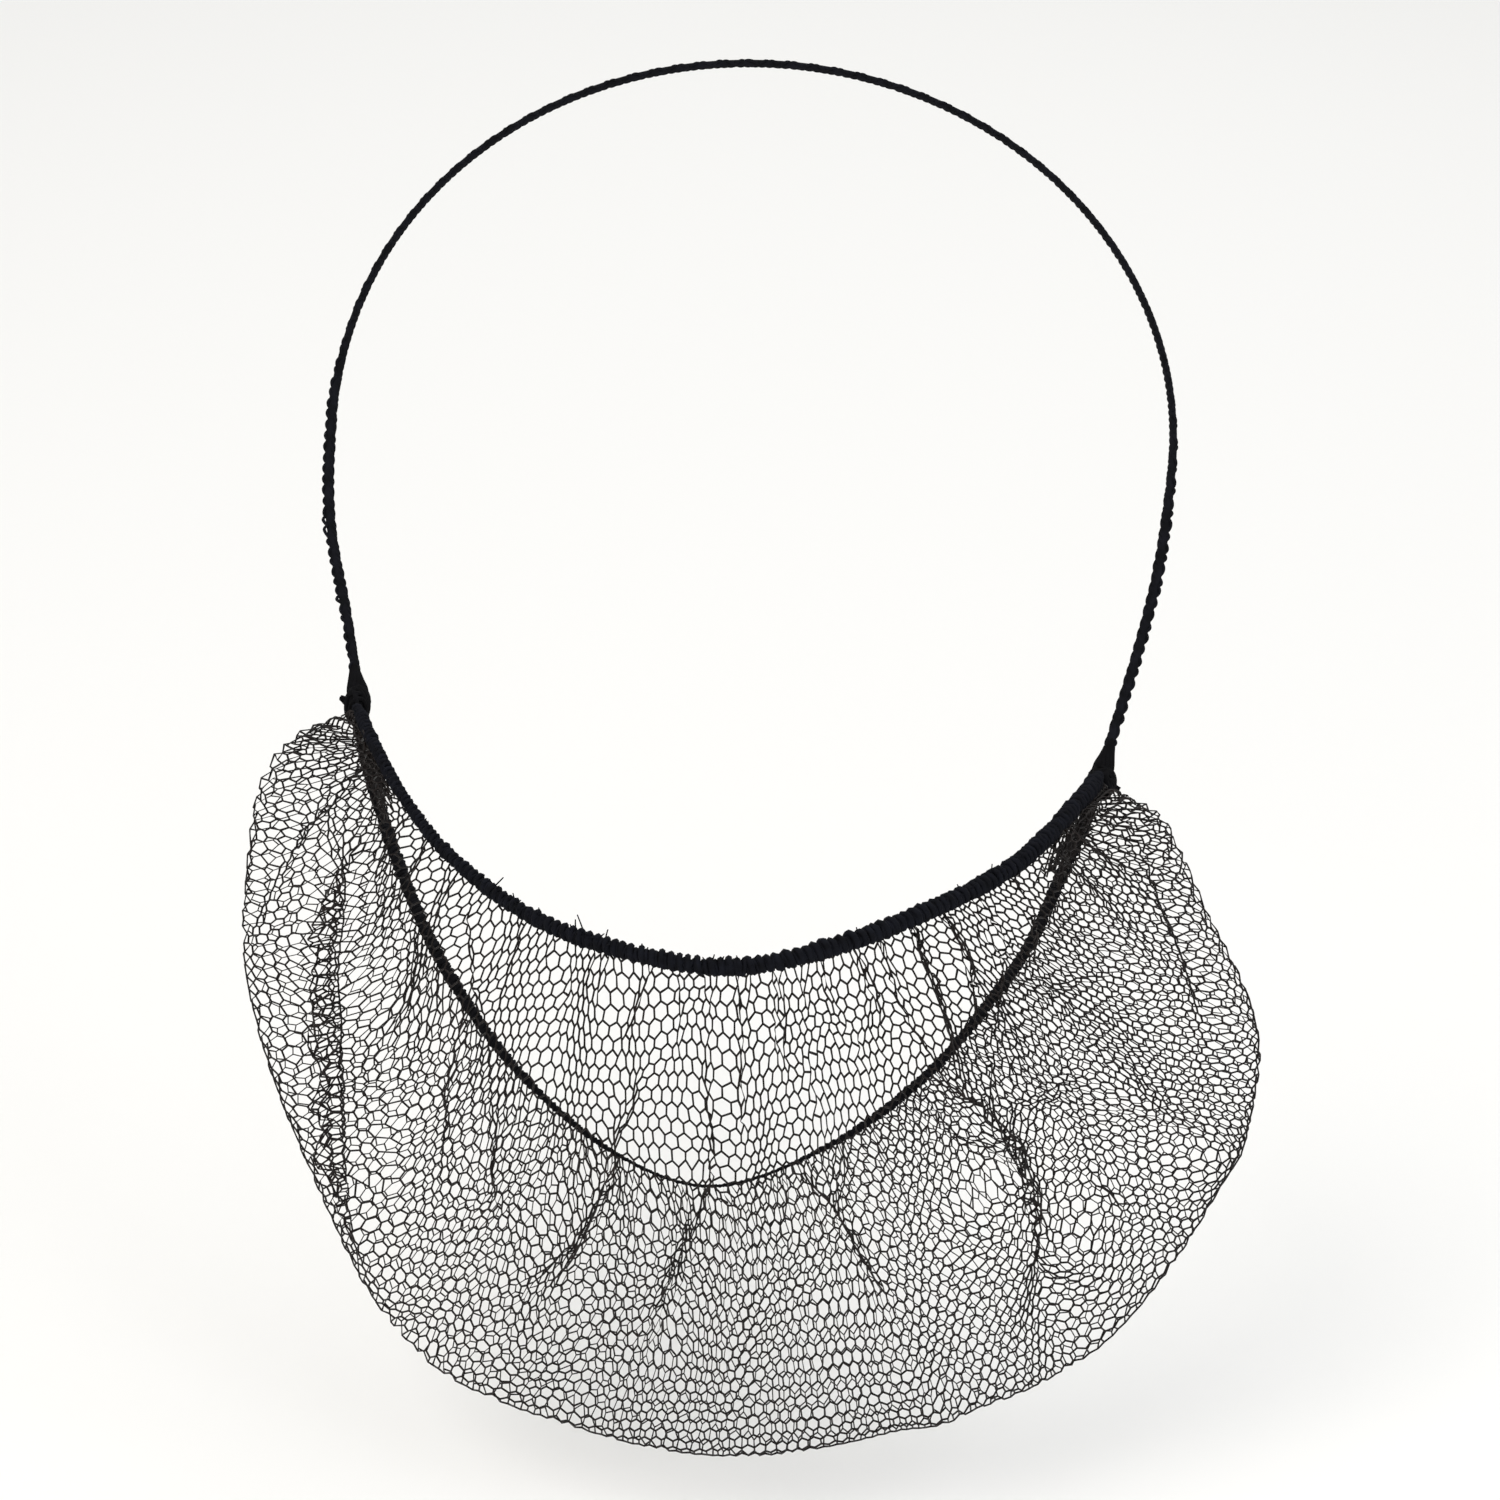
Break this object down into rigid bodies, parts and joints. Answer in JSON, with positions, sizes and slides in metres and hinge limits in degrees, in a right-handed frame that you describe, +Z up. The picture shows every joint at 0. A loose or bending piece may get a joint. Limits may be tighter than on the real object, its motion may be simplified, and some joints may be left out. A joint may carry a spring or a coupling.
{
  "type": "beard net",
  "caption": "Worn beard net: hexagonal net pouch over mouth, chin and jaw, gathered on lip and jaw elastics that are tied at the ears, with an elastic strap round the back of the head.",
  "frame": {"origin": "midway between the two ear knots, where the wearer's head holds the net", "axes": "+Z up on the wearer's upright head, -Y the way the wearer faces, +X the wearer's left"},
  "size_m": [0.1877, 0.1958, 0.212],
  "materials": {
    "net": "black-brown knitted nylon net",
    "lip_elastic": "black knitted elastic, fuzzy",
    "jaw_elastic": "black knitted elastic, fuzzy",
    "head_strap": "black knitted elastic tape",
    "knot": "black gathered yarn"
  },
  "bodies": {
    "root": {"net_pouch": "net", "lip_elastic": "lip_elastic", "jaw_elastic": "jaw_elastic", "head_strap": "head_strap", "ear_knot_right": "knot", "ear_knot_left": "knot"}
  },
  "joints": []
}
